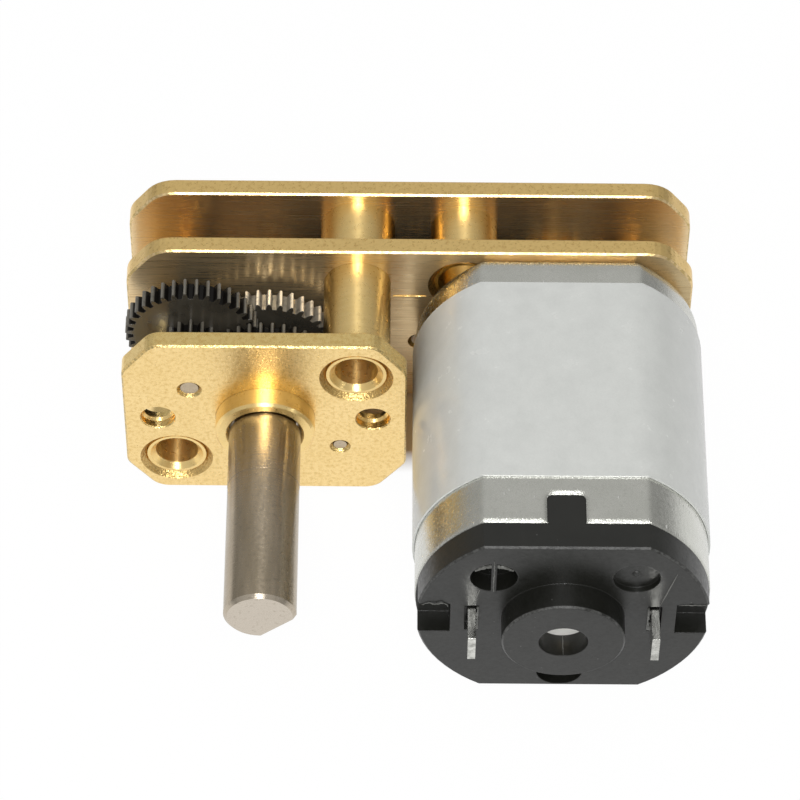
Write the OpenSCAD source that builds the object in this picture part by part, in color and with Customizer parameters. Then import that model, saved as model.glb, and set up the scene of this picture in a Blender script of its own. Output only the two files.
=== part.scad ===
// Offset gearmotor. A small brushed motor lies beside a gearbox of three brass plates. Its pinion
// drives six pairs of spur gears, and the last turns a D shaft that points the same way as the motor's cap.
// +X runs from the output shaft to the motor, +Y from the shaft's tip to the rear plate, and +Z is up.
// The origin is on the output shaft's axis, in the front face of the front plate. Millimetres.

/* [Plates] */
// Thickness of each plate
plate_t = 0.8; // [0.6:0.05:1.2]
// Open depth between the front and middle plates
front_gap = 4.2; // [3.8:0.1:5]
// Open depth between the middle and rear plates
rear_gap = 2.3; // [2:0.1:3]
// Metal left in a plate outside a post's countersink
plate_rim = 0.575; // [0.4:0.025:0.8]
// Reach of the long plates beyond the motor's axis
plate_end = 5.65; // [5.2:0.05:6.5]
// Length of a plate's cut corner along its width
corner_w = 1.25; // [0.8:0.05:1.5]
// Length of a plate's cut corner along its height
corner_h = 1.75; // [1:0.05:2]
// Radius where a cut corner runs into the front plate's edges
front_corner_r = 0.8; // [0.2:0.05:1.5]
// Radius where a cut corner runs into the long plates' edges
long_corner_r = 1.4; // [0.2:0.05:1.5]
// Bevel on the edges of a plate
plate_bevel = 0.07; // [0.03:0.01:0.12]
// Diameter of the tapped mounting holes in the front plate
mount_hole_d = 1.4; // [1.2:0.05:1.6]
// Distance between the tapped mounting holes
mount_spacing = 9; // [8.6:0.1:9.4]
// Bevel at the mouth of a mounting hole
mount_bevel = 0.05; // [0.03:0.01:0.15]

/* [Posts] */
// Diameter of a post between its plates
post_d = 2.8; // [2.5:0.05:3]
// Bore of a post
post_bore_d = 1.8; // [1.4:0.05:2]
// Width of the shoulder that seats a post on a plate
post_shoulder = 0.15; // [0.1:0.025:0.2]
// Step by which a long post is thicker in the rear gap
post_step = 0.175; // [0.1:0.025:0.3]
// Width of the countersink round a post's end
post_sink_w = 0.275; // [0.15:0.025:0.35]
// Depth of the countersink round a post's end
post_sink_depth = 0.3; // [0.2:0.05:0.4]
// Space between a long post and the output gear
long_post_space = 0.4; // [0.2:0.05:0.6]
// Direction of the upper long post from the output shaft
long_post_turn = 36.4; // [30:0.2:42]
// Space between the upper short post and the second wheel
short_post_space = 0.33; // [0.2:0.01:0.5]
// Direction of the upper short post from the second axle
short_post_turn = 64.8; // [60:0.2:68]

/* [Output shaft] */
// Diameter of the output shaft
shaft_d = 3; // [2.6:0.1:3.2]
// Length of the output shaft in front of the front plate
shaft_reach = 10; // [7:0.1:14]
// Depth of the flat on the shaft
flat_depth = 0.5; // [0.2:0.05:0.8]
// Length of the flat from the shaft's tip
flat_len = 6.4; // [4:0.1:6.8]
// Step by which the flatted length is ground under the shaft's radius
flat_ease = 0.01; // [0.005:0.005:0.02]
// Direction that the flat faces
flat_turn = -48; // [-90:1:0]
// Bevel at the shaft's tip
shaft_bevel = 0.15; // [0.05:0.05:0.3]
// Diameter of the shaft's tail, on which the fourth gear runs
tail_d = 1.2; // [1:0.05:1.3]
// Wall of the output bushing
boss_wall = 0.55; // [0.4:0.05:0.7]
// Length of the bushing in front of the front plate
boss_len = 0.85; // [0.5:0.05:1.2]
// Bevel at the bushing's outer edge and at its mouth
boss_bevel = 0.11; // [0.05:0.01:0.2]
// Width of the oil groove round the shaft, just inside the bushing's mouth
oil_groove_w = 0.6; // [0.55:0.05:0.8]
// Depth of the oil groove
oil_groove_depth = 0.2; // [0.17:0.01:0.25]

/* [Gears] */
// Module of all the gears
gear_module = 0.15; // [0.14:0.005:0.16]
// Pressure angle of the teeth
pressure_angle = 20; // [20:0.5:25]
// Play between two meshed teeth
backlash = 0.03; // [0.02:0.005:0.05]
// Teeth of the motor's pinion
motor_pinion_teeth = 14; // [12:1:15]
// Teeth of the first pinion
first_pinion_teeth = 16; // [14:1:17]
// Teeth of the second pinion
second_pinion_teeth = 12; // [12:1:14]
// Teeth of the third wheel
third_wheel_teeth = 34; // [30:1:35]
// Teeth of the two gears of a pair in the front gap, counted together
front_pair_teeth = 49; // [48:1:50]
// Teeth of the third pinion
third_pinion_teeth = 12; // [12:1:14]
// Teeth of the fourth pinion
fourth_pinion_teeth = 14; // [14:1:16]
// Teeth of the fifth pinion
fifth_pinion_teeth = 12; // [12:1:14]
// Direction of the fifth axle from the output shaft
fifth_turn = 148.2; // [146:0.2:150]
// Direction of the second axle from the third shaft
second_turn = 13.7; // [10:0.1:18]
// Centre distance of the second pair, over the straight line from the second axle to the motor
second_share = 0.6115; // [0.6:0.0025:0.625]
// Length of the two meshes from the second axle to the motor, over that straight line
train_slack = 1.1475; // [1.13:0.0025:1.17]
// Face width of the fourth and fifth wheels
wheel_w = 0.8; // [0.6:0.05:0.9]
// Space behind the fourth wheel
wheel_back = 0.45; // [0.3:0.05:0.6]
// Space between gears that pass each other
layer_gap = 0.07; // [0.05:0.01:0.12]
// Space in front of the output gear
output_front = 0.4; // [0.3:0.05:0.6]
// Space between a plate and the wheels in the rear gap
rear_space = 0.18; // [0.1:0.02:0.3]
// Diameter of the axles
axle_d = 0.75; // [0.6:0.05:0.8]
// Diameter of the third shaft
third_shaft_d = 0.8; // [0.7:0.05:0.9]
// Diameter of the third shaft's pivots
pivot_d = 0.55; // [0.4:0.05:0.6]
// Width of the countersink round an axle's end
axle_sink_w = 0.14; // [0.08:0.02:0.2]
// Depth by which an axle's end lies below the plate's face
axle_sunk = 0.1; // [0.05:0.05:0.2]

/* [Motor case] */
// Diameter of the can
can_d = 12; // [11.6:0.1:12.6]
// Distance between the can's flat sides
can_h = 10; // [9.6:0.1:10.4]
// Length of the can
can_len = 13.74; // [13:0.02:16]
// Wall of the can
can_wall = 0.5; // [0.4:0.05:0.6]
// Radius of the can's drawn front edge
can_edge_r = 1; // [0.5:0.05:1.2]
// Bevel round the can's open end
can_rim = 0.07; // [0.04:0.01:0.1]
// Diameter of the can's front boss, which centres the motor in the middle plate
can_boss_d = 4; // [3.6:0.1:4.2]
// Space between the motor and the front plate
motor_gap = 0.25; // [0.15:0.05:0.6]
// Thickness of the label
label_t = 0.1; // [0.05:0.05:0.15]
// Length of the label along the can
label_len = 9.84; // [8:0.02:11]
// Bare can in front of the label
label_start = 1.66; // [1.3:0.02:1.9]
// Width of the key notches in the can's open end
key_w = 1.56; // [1.2:0.02:2]
// Length of the key notches
key_len = 1.4; // [0.8:0.02:1.6]
// Radius in the corners of the key notches
key_r = 0.25; // [0.1:0.05:0.4]
// Distance between the two screws that hold the motor
screw_spacing = 8.5; // [8.3:0.1:8.8]
// Diameter of those screws
screw_d = 1.2; // [1:0.1:1.3]
// Diameter of their countersunk heads
screw_head_d = 2.2; // [2:0.1:2.3]

/* [End cap] */
// Thickness of the end cap outside the can
cap_t = 1.2; // [1:0.05:1.6]
// Step from the can's side in to the cap's side
cap_inset = 0.04; // [0.02:0.02:0.2]
// Depth of the cap's lip inside the can
cap_lip = 2; // [1.8:0.1:2.4]
// Wall of the cap's lip
cap_lip_wall = 0.6; // [0.4:0.05:0.7]
// Bevel on the cap's outer edge
cap_bevel = 0.08; // [0.05:0.01:0.2]
// Diameter of the cap's boss
cap_boss_d = 5; // [4.6:0.1:5.2]
// Length of the cap's boss
cap_boss_len = 1.16; // [1.1:0.02:1.5]
// Diameter of the hole in the cap's boss
cap_hole_d = 2; // [1.8:0.1:2.2]
// Depth of the hole in the cap's boss
cap_hole_depth = 1; // [0.7:0.05:1.1]
// Diameter of the round recesses in the cap
recess_d = 1.9; // [1.6:0.02:2]
// Distance of the upper recesses from the cap's middle, sideways
recess_x = 2.85; // [2.7:0.05:3]
// Distance of the upper recesses from the cap's middle, upwards
recess_z = 2.86; // [2.7:0.02:2.9]
// Depth of the deep recesses
recess_depth = 0.8; // [0.5:0.05:0.9]
// Depth of the shallow recess
dimple_depth = 0.25; // [0.1:0.05:0.4]
// Rib across the upper deep recess
recess_rib = 0.22; // [0.15:0.01:0.3]
// Metal between the lower recess and the cap's flat side
recess_rim = 0.12; // [0.08:0.02:0.2]
// Depth of the square notches in the cap's sides, measured inwards
side_notch_w = 1.4; // [1.2:0.05:1.5]
// Height of the square notches
side_notch_h = 2; // [1.6:0.1:2.2]
// Distance of a terminal from the motor's axis
terminal_x = 3.7; // [3.6:0.05:3.8]
// Thickness of a terminal
terminal_t = 0.32; // [0.2:0.02:0.4]
// Height of a terminal
terminal_h = 1.5; // [1.2:0.1:1.7]
// Length of a terminal outside the cap
terminal_reach = 1.5; // [1:0.05:3]
// Room round a terminal in the pocket at its slot's mouth
terminal_room = 0.12; // [0.05:0.01:0.15]
// Depth of that pocket
terminal_pocket = 0.4; // [0.2:0.05:0.8]

/* [Rotor] */
// Diameter of the motor's shaft
motor_shaft_d = 1; // [0.8:0.05:1]
// Length of the armature's core
core_len = 4.8; // [4:0.1:5.4]
// Air gap between the core and the magnets
air_gap = 0.3; // [0.2:0.05:0.4]
// Space between the core and the can's flat sides
core_space = 0.55; // [0.45:0.05:0.7]
// Thickness of a magnet
magnet_t = 1.35; // [1:0.05:1.4]
// Length of the magnets
magnet_len = 6.4; // [5:0.1:7]
// Half of the angle that a magnet covers
magnet_half = 44; // [35:1:46]
// Reach of the windings past each end of the core
coil_end = 0.8; // [0.5:0.05:1]
// Diameter of the commutator
commutator_d = 2.4; // [2.2:0.1:2.6]
// Length of the commutator's segments
commutator_len = 1.8; // [1.4:0.1:2]
// Thickness of the commutator's segments
segment_t = 0.2; // [0.15:0.05:0.3]
// Thickness of a brush
brush_t = 0.12; // [0.08:0.02:0.2]
// Width of a brush
brush_w = 0.8; // [0.6:0.1:1]

/* [Fits] */
// Gap round a shaft that turns
run_gap = 0.03; // [0.02:0.005:0.05]
// Gap round a piece that is pressed or laid in place
seat_gap = 0.01; // [0.005:0.005:0.02]
// End play of a gear between two plates
end_play = 0.06; // [0.04:0.01:0.1]

/* [Hidden] */
$fn = 96;

brass = "#c9a24a";
steel = "#8c8378";
black_steel = "#26262a";
nickel = "#b9b9b6";
paper = "#d3d4d6";
plastic = "#2e2e30";
copper = "#b5713a";

// Places of the plates along Y
mid_y = plate_t + front_gap;
rear_gap_y = mid_y + plate_t;
rear_y = rear_gap_y + rear_gap;
back_y = rear_y + plate_t;

// Radii of a gear with a given number of teeth
addendum = gear_module;
dedendum = 1.25 * gear_module;
hub_inset = 0.06;
function pitch_r(teeth) = gear_module * teeth / 2;
function tip_r(teeth) = pitch_r(teeth) + addendum;
function root_r(teeth) = pitch_r(teeth) - dedendum;
function hub_r(teeth) = root_r(teeth) - hub_inset;
function centres(teeth, mate) = pitch_r(teeth) + pitch_r(mate);
function polar(distance, turn) = distance * [cos(turn), sin(turn)];
function direction(from, to) = atan2(to[1] - from[1], to[0] - from[0]);

// Teeth of the wheels in the front gap
fourth_wheel_teeth = front_pair_teeth - third_pinion_teeth;
fifth_wheel_teeth = front_pair_teeth - fourth_pinion_teeth;
output_teeth = front_pair_teeth - fifth_pinion_teeth;

// Posts, and the plates that are drawn round them
post_end_d = post_d - 2 * post_shoulder;
post_rear_d = post_d + 2 * post_step;
post_sink_d = post_end_d + 2 * post_sink_w;
long_post_at = polar(tip_r(output_teeth) + post_d / 2 + long_post_space, long_post_turn);
plate_half_w = long_post_at[0] + post_sink_d / 2 + plate_rim;
plate_half_h = long_post_at[1] + post_sink_d / 2 + plate_rim;

// Axes of the motor and the gears, as X and Z
can_half_h = can_h / 2;
motor_x = plate_half_w + motor_gap + label_t + can_d / 2;
motor_at = [motor_x, 0];
plate_right = motor_x + plate_end;
fifth_at = polar(pitch_r(front_pair_teeth), fifth_turn);
third_at = -fifth_at;
second_at = third_at + polar(centres(second_pinion_teeth, third_wheel_teeth), second_turn);
motor_span = norm(motor_at - second_at);
second_wheel_teeth = round(second_share * motor_span * 2 / gear_module) - first_pinion_teeth;
second_centres = centres(first_pinion_teeth, second_wheel_teeth);
first_wheel_teeth = round((train_slack * motor_span - second_centres) * 2 / gear_module) - motor_pinion_teeth;
first_centres = centres(motor_pinion_teeth, first_wheel_teeth);
first_along = (second_centres ^ 2 - first_centres ^ 2 + motor_span ^ 2) / (2 * motor_span);
first_bend = acos(first_along / second_centres);
first_at = second_at + polar(second_centres, direction(second_at, motor_at) - first_bend);
upper_post_at = second_at
  + polar(tip_r(second_wheel_teeth) + post_d / 2 + short_post_space, short_post_turn);
lower_post_inset = post_sink_d / 2 + plate_rim;
lower_post_at = [plate_right - lower_post_inset, lower_post_inset - plate_half_h];

// Layers of the gears along Y
fourth_wheel_y = mid_y - wheel_back - wheel_w;
fifth_wheel_y = fourth_wheel_y - layer_gap - wheel_w;
output_gear_y = plate_t + output_front;
output_gear_w = fifth_wheel_y - layer_gap - output_gear_y;
rear_layer_w = (rear_gap - 2 * rear_space - layer_gap) / 2;
near_layer_y = rear_gap_y + rear_space;
far_layer_y = near_layer_y + rear_layer_w + layer_gap;

// Angle at which a gear stands so that it meshes with one that stands at a given turn
function meshed(turn, teeth, toward, mate) =
  toward + 180 + ((toward - turn) * teeth / 360 - 0.5) * 360 / mate;
fifth_wheel_turn = meshed(0, fourth_pinion_teeth, fifth_turn, fifth_wheel_teeth);
output_turn = meshed(0, fifth_pinion_teeth, fifth_turn + 180, output_teeth);
third_pinion_turn = meshed(0, fourth_wheel_teeth, fifth_turn + 180, third_pinion_teeth);
second_pinion_turn = meshed(0, third_wheel_teeth, second_turn, second_pinion_teeth);
first_pinion_turn = meshed(0, second_wheel_teeth, direction(second_at, first_at), first_pinion_teeth);
motor_pinion_turn = meshed(0, first_wheel_teeth, direction(first_at, motor_at), motor_pinion_teeth);

// Places along Y inside the motor
can_end_y = mid_y - can_len;
can_front_y = mid_y - can_wall;
cap_face_y = can_end_y - cap_t;
cap_boss_y = cap_face_y - cap_boss_len;
cap_hole_y = cap_boss_y + cap_hole_depth;
lip_y = can_end_y + cap_lip;
label_y = mid_y - label_start - label_len;
can_boss_sunk = 0.1;
can_boss_end_y = rear_gap_y - can_boss_sunk;
can_boss_lid = 0.2;
bush_d = can_boss_d - 2 * can_wall;
bush_inside = 0.3;
bush_back_y = can_front_y - bush_inside;
rear_bush_len = 1.6;
rear_bush_end_y = cap_hole_y + rear_bush_len;
core_r = can_half_h - can_wall - core_space;
core_shift = 0.8;
core_mid_y = (can_front_y + lip_y) / 2 + core_shift;
core_y = core_mid_y - core_len / 2;
coil_y = core_y - coil_end;
magnet_y = core_mid_y - magnet_len / 2;
magnet_r = core_r + air_gap;
commutator_space = 0.6;
commutator_y = coil_y - commutator_space - commutator_len;
hub_flange = 0.2;
hub_end_y = commutator_y - hub_flange;
washer_t = 0.2;

// How far a cut runs past the face that it opens
past = 1;

// Drawing helpers

// Flat shape drawn in X and Z, made solid from y0 to y1
module along_y(y0, y1) {
  translate([0, y1, 0])
    rotate([90, 0, 0])
      linear_extrude(height = y1 - y0)
        children();
}

// Solid turned about Y, from a flat shape of radius and Y
module turned() {
  rotate([-90, 0, 0])
    rotate_extrude()
      children();
}

module at(place) {
  translate([place[0], 0, place[1]])
    children();
}

module rod(d, y0, y1) {
  along_y(y0, y1)
    circle(d = d);
}

// Cone whose diameter grows from d0 at y0 to d1 at y1
module sink(d0, d1, y0, y1) {
  turned()
    polygon([[0, y0], [d0 / 2, y0], [d1 / 2, y1], [0, y1]]);
}

// Circle with two flat sides, above and below
module flatted(r, half_h) {
  intersection() {
    circle(r = r);
    square([2 * r, 2 * half_h], center = true);
  }
}

// Convex outline with round corners
function edge_normal(from, to) = [to[1] - from[1], from[0] - to[0]] / norm(to - from);
function rounded(points, r) = [
  for (i = [0 : len(points) - 1])
    let (
      last = points[(i + len(points) - 1) % len(points)],
      next = points[(i + 1) % len(points)],
      normal_in = edge_normal(last, points[i]),
      normal_out = edge_normal(points[i], next),
      middle = points[i] - r * (normal_in + normal_out) / (1 + normal_in * normal_out),
      start = atan2(normal_in[1], normal_in[0]),
      bend = acos(normal_in * normal_out),
      steps = 5)
    for (k = [0 : steps])
      middle + polar(r, start + bend * k / steps)];

// Corners of a plate between two ends, drawn in by an inset
function plate_corners(left, right, inset) = let (
  x0 = left + inset,
  x1 = right - inset,
  z1 = plate_half_h - inset,
  z0 = -z1) [
    [x0 + corner_w, z0], [x1 - corner_w, z0], [x1, z0 + corner_h], [x1, z1 - corner_h],
    [x1 - corner_w, z1], [x0 + corner_w, z1], [x0, z1 - corner_h], [x0, z0 + corner_h]];

module plate_blank(left, right, y, corner_r) {
  hull() {
    along_y(y, y + plate_t)
      polygon(rounded(plate_corners(left, right, plate_bevel), corner_r));
    along_y(y + plate_bevel, y + plate_t - plate_bevel)
      polygon(rounded(plate_corners(left, right, 0), corner_r));
  }
}

// Teeth of a spur gear, with one tooth's middle at the given turn
function involute(angle) = tan(angle) * 180 / PI - angle;
function half_tooth(teeth, r) = let (
  base_r = pitch_r(teeth) * cos(pressure_angle),
  at_pitch = (PI * gear_module / 2 - backlash) / (2 * pitch_r(teeth)) * 180 / PI,
  bent = r > base_r ? involute(acos(base_r / r)) : 0)
  at_pitch + involute(pressure_angle) - bent;
function gear_outline(teeth, turn) = let (
  rising = [root_r(teeth), pitch_r(teeth), tip_r(teeth)]) [
    for (k = [0 : teeth - 1], side = [-1, 1], i = [0 : 2])
      let (r = side < 0 ? rising[i] : rising[2 - i])
      polar(r, turn + 360 * k / teeth + side * half_tooth(teeth, r))];

module gear(teeth, turn, bore_d, y0, y1) {
  along_y(y0, y1)
    difference() {
      polygon(gear_outline(teeth, turn));
      circle(d = bore_d);
    }
}

// Pinion with a plain hub that carries its wheel
module hubbed_pinion(teeth, turn, bore_d, y0, y1, hub_y0, hub_y1) {
  gear(teeth, turn, bore_d, y0, y1);
  along_y(hub_y0, hub_y1)
    difference() {
      circle(r = hub_r(teeth));
      circle(d = bore_d);
    }
}

function wheel_bore(pinion_teeth) = 2 * (hub_r(pinion_teeth) + seat_gap);
axle_bore_d = axle_d + 2 * run_gap;

// Hole for a piece that is held in a plate
module seat_hole(d, y) {
  rod(d + 2 * seat_gap, y - plate_t, y + 2 * plate_t);
}

// Countersink at a plate's face, opening towards -Y or +Y
module face_sink(d, sink_w, depth, y, way) {
  mouth = d + 2 * sink_w;
  if (way < 0)
    sink(mouth, d, y, y + depth);
  else
    sink(d, mouth, y - depth, y);
}

module post_hole(place, y, way) {
  at(place) {
    seat_hole(post_end_d, y);
    face_sink(post_end_d + 2 * seat_gap, post_sink_w, post_sink_depth, way < 0 ? y : y + plate_t, way);
  }
}

module axle_hole(place, d, y, way) {
  at(place) {
    seat_hole(d, y);
    face_sink(d + 2 * seat_gap, axle_sink_w, axle_sink_w, way < 0 ? y : y + plate_t, way);
  }
}

// Hole in which a shaft turns
module run_hole(place, d, y, way) {
  at(place) {
    rod(d + 2 * run_gap, y - plate_t, y + 2 * plate_t);
    face_sink(d + 2 * run_gap, axle_sink_w, axle_sink_w, way < 0 ? y : y + plate_t, way);
  }
}

long_post_places = [long_post_at, -long_post_at];
short_post_places = [upper_post_at, lower_post_at];
screw_places = [for (side = [-1, 1]) motor_at + [side * screw_spacing / 2, 0]];
sides = [-1, 1];
half_turns = [0, 180];

// Gearbox frame

bushing_d = shaft_d + 2 * (run_gap + boss_wall);

module front_plate() {
  color(brass)
    difference() {
      plate_blank(-plate_half_w, plate_half_w, 0, front_corner_r);
      seat_hole(bushing_d, 0);
      for (place = long_post_places)
        post_hole(place, 0, -1);
      axle_hole(fifth_at, axle_d, 0, -1);
      run_hole(third_at, pivot_d, 0, -1);
      for (side = sides)
        at([side * mount_spacing / 2, 0]) {
          rod(mount_hole_d, -plate_t, 2 * plate_t);
          face_sink(mount_hole_d, mount_bevel, mount_bevel, 0, -1);
        }
    }
}

module screw_hole(place) {
  at(place) {
    seat_hole(screw_d, mid_y);
    sink(screw_d, screw_head_d + 2 * seat_gap, rear_gap_y - screw_head_h, rear_gap_y);
  }
}

module mid_plate() {
  color(brass)
    difference() {
      plate_blank(-plate_half_w, plate_right, mid_y, long_corner_r);
      run_hole([0, 0], tail_d, mid_y, -1);
      axle_hole(fifth_at, axle_d, mid_y, 1);
      run_hole(third_at, third_shaft_d, mid_y, -1);
      for (place = [first_at, second_at])
        axle_hole(place, axle_d, mid_y, -1);
      for (place = long_post_places)
        at(place)
          seat_hole(post_d, mid_y);
      for (place = short_post_places)
        post_hole(place, mid_y, -1);
      for (place = screw_places)
        screw_hole(place);
      at(motor_at)
        seat_hole(can_boss_d, mid_y);
    }
}

module rear_plate() {
  color(brass)
    difference() {
      plate_blank(-plate_half_w, plate_right, rear_y, long_corner_r);
      run_hole(third_at, pivot_d, rear_y, 1);
      for (place = [first_at, second_at])
        axle_hole(place, axle_d, rear_y, 1);
      for (place = concat(long_post_places, short_post_places))
        post_hole(place, rear_y, 1);
    }
}

post_mouth = 0.22;
post_sunk = 0.18;

// Hollow post from its front end to its back end, with its two bodies between
module post(front_y, body_y, body_d, step_y, step_d) {
  turned()
    polygon([
      [post_bore_d / 2 + post_mouth, front_y], [post_end_d / 2, front_y], [post_end_d / 2, body_y],
      [body_d / 2, body_y], [body_d / 2, step_y], [step_d / 2, step_y], [step_d / 2, rear_y],
      [post_end_d / 2, rear_y], [post_end_d / 2, back_y - post_sunk],
      [post_bore_d / 2 + post_mouth, back_y - post_sunk], [post_bore_d / 2, back_y - post_sunk - post_mouth],
      [post_bore_d / 2, front_y + post_mouth]]);
}

module long_posts() {
  color(brass)
    for (place = long_post_places)
      at(place)
        post(post_sunk, plate_t, post_d, rear_gap_y, post_rear_d);
}

module short_posts() {
  color(brass)
    for (place = short_post_places)
      at(place)
        post(mid_y + post_sunk, rear_gap_y, post_d, rear_gap_y + plate_t, post_d);
}

module output_bushing() {
  bore_r = shaft_d / 2 + run_gap;
  outer_r = bushing_d / 2;
  color(brass)
    turned()
      polygon([
        [bore_r, plate_t], [outer_r, plate_t], [outer_r, boss_bevel - boss_len],
        [outer_r - boss_bevel, -boss_len],
        [bore_r + boss_bevel, -boss_len], [bore_r, boss_bevel - boss_len]]);
}

// Output shaft and the gears of the front gap

tail_y = output_gear_y + output_gear_w;
tail_end_y = rear_gap_y - axle_sunk;

// Round shaft with the flat along its free end and the oil groove in the bushing's mouth
module output_shaft() {
  shaft_r = shaft_d / 2;
  eased_r = shaft_r - flat_ease;
  flat_y = flat_len - shaft_reach;
  groove_r = shaft_r - oil_groove_depth;
  color(steel) {
    difference() {
      turned()
        polygon([
          [0, -shaft_reach], [eased_r - shaft_bevel, -shaft_reach], [eased_r, shaft_bevel - shaft_reach],
          [eased_r, flat_y], [0, flat_y]]);
      rotate([0, -flat_turn, 0])
        translate([shaft_r - flat_depth, -shaft_reach - past, -shaft_r])
          cube([shaft_r, flat_len + 2 * past, 2 * shaft_r]);
    }
    turned()
      polygon([
        [0, flat_y], [shaft_r, flat_y], [shaft_r, -boss_len], [groove_r, -boss_len],
        [groove_r, oil_groove_w - boss_len], [shaft_r, oil_groove_w - boss_len],
        [shaft_r, tail_y], [tail_d / 2, tail_y], [tail_d / 2, tail_end_y], [0, tail_end_y]]);
  }
}

module output_gear() {
  color(black_steel)
    gear(output_teeth, output_turn, shaft_d + 2 * seat_gap, output_gear_y, tail_y);
}

front_hub_y = plate_t + end_play;
mid_hub_y = mid_y - end_play;

module fifth_axle() {
  color(steel)
    at(fifth_at)
      rod(axle_d, axle_sunk, rear_gap_y - axle_sunk);
}

module fifth_wheel() {
  color(black_steel)
    at(fifth_at)
      gear(fifth_wheel_teeth, fifth_wheel_turn, wheel_bore(fifth_pinion_teeth),
        fifth_wheel_y, fifth_wheel_y + wheel_w);
}

module fifth_pinion() {
  color(black_steel)
    at(fifth_at)
      hubbed_pinion(fifth_pinion_teeth, 0, axle_bore_d, output_gear_y, fifth_wheel_y,
        front_hub_y, mid_hub_y);
}

module fourth_wheel() {
  color(black_steel)
    gear(fourth_wheel_teeth, 0, wheel_bore(fourth_pinion_teeth), fourth_wheel_y, fourth_wheel_y + wheel_w);
}

module fourth_pinion() {
  color(black_steel)
    hubbed_pinion(fourth_pinion_teeth, 0, tail_d + 2 * run_gap, fifth_wheel_y, fourth_wheel_y,
      fifth_wheel_y, mid_hub_y);
}

// Gears of the rear gap

module third_shaft() {
  color(steel)
    at(third_at)
      turned()
        polygon([
          [0, axle_sunk], [pivot_d / 2, axle_sunk], [pivot_d / 2, front_hub_y],
          [third_shaft_d / 2, front_hub_y], [third_shaft_d / 2, rear_y - end_play],
          [pivot_d / 2, rear_y - end_play], [pivot_d / 2, back_y - axle_sunk], [0, back_y - axle_sunk]]);
}

third_bore_d = third_shaft_d + 2 * seat_gap;

module third_pinion() {
  color(black_steel)
    at(third_at)
      gear(third_pinion_teeth, third_pinion_turn, third_bore_d, fourth_wheel_y, fourth_wheel_y + wheel_w);
}

module third_wheel() {
  color(black_steel)
    at(third_at)
      gear(third_wheel_teeth, 0, third_bore_d, far_layer_y, far_layer_y + rear_layer_w);
}

// Axle held in the middle and rear plates
module rear_axle(place) {
  color(steel)
    at(place)
      rod(axle_d, mid_y + axle_sunk, back_y - axle_sunk);
}

module second_axle() {
  rear_axle(second_at);
}

module second_wheel() {
  color(black_steel)
    at(second_at)
      gear(second_wheel_teeth, 0, wheel_bore(second_pinion_teeth), near_layer_y, near_layer_y + rear_layer_w);
}

rear_hub_y0 = rear_gap_y + end_play;
rear_hub_y1 = rear_y - end_play;

module second_pinion() {
  color(black_steel)
    at(second_at)
      hubbed_pinion(second_pinion_teeth, second_pinion_turn, axle_bore_d, far_layer_y,
        far_layer_y + rear_layer_w, rear_hub_y0, rear_hub_y1);
}

module first_axle() {
  rear_axle(first_at);
}

module first_wheel() {
  color(black_steel)
    at(first_at)
      gear(first_wheel_teeth, 0, wheel_bore(first_pinion_teeth), far_layer_y, far_layer_y + rear_layer_w);
}

module first_pinion() {
  color(black_steel)
    at(first_at)
      hubbed_pinion(first_pinion_teeth, first_pinion_turn, axle_bore_d, near_layer_y,
        near_layer_y + rear_layer_w, rear_hub_y0, rear_hub_y1);
}

module motor_pinion() {
  color(brass)
    at(motor_at)
      gear(motor_pinion_teeth, motor_pinion_turn, motor_shaft_d + 2 * seat_gap,
        far_layer_y, far_layer_y + rear_layer_w);
}

// Motor case

screw_head_h = 0.5;
screw_through = 0.3;
screw_tip_y = can_front_y - screw_through;
screw_slot = 0.3;

module motor_screws() {
  color(steel)
    for (place = screw_places)
      at(place)
        difference() {
          union() {
            rod(screw_d, screw_tip_y, rear_gap_y);
            sink(screw_d, screw_head_d, rear_gap_y - screw_head_h, rear_gap_y);
          }
          translate([-screw_head_d, rear_gap_y - screw_slot, -screw_slot / 2])
            cube([2 * screw_head_d, 2 * screw_slot, screw_slot]);
        }
}

// Half section of a drawn cup that ends at a round edge
module drawn_section(r, y0, y1, edge_r) {
  translate([0, y0])
    square([r, y1 - y0 - edge_r]);
  translate([0, y0])
    square([r - edge_r, y1 - y0]);
  translate([r - edge_r, y1 - edge_r])
    circle(r = edge_r);
}

// Drawn cup with round sides and two flat ones
module drawn_body(r, half_h, y0, y1, edge_r) {
  intersection() {
    turned()
      intersection() {
        drawn_section(r, y0, y1, edge_r);
        translate([0, y0])
          square([r, y1 - y0]);
      }
    rotate([90, 0, 90])
      linear_extrude(height = 2 * r, center = true)
        for (flip = [0, 1])
          mirror([0, flip])
            rotate(90)
              mirror([0, 1])
                drawn_section(half_h, y0, y1, edge_r);
  }
}

// Block with round sides and two flat ones, bevelled round its front
module beveled_body(r, half_h, y0, y1, bevel) {
  intersection() {
    turned()
      polygon([[0, y0], [r - bevel, y0], [r, y0 + bevel], [r, y1], [0, y1]]);
    rotate([90, 0, 90])
      linear_extrude(height = 2 * r, center = true)
        polygon([
          [y0, half_h - bevel], [y0 + bevel, half_h], [y1, half_h],
          [y1, -half_h], [y0 + bevel, -half_h], [y0, bevel - half_h]]);
  }
}

// Round-cornered key that runs from before the can's open end into its wall, between two heights
module key(w, before, length, corner, z0, z1) {
  translate([0, can_end_y, z0])
    linear_extrude(height = z1 - z0)
      polygon(rounded([[-w / 2, -before], [w / 2, -before], [w / 2, length], [-w / 2, length]], corner));
}

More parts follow.
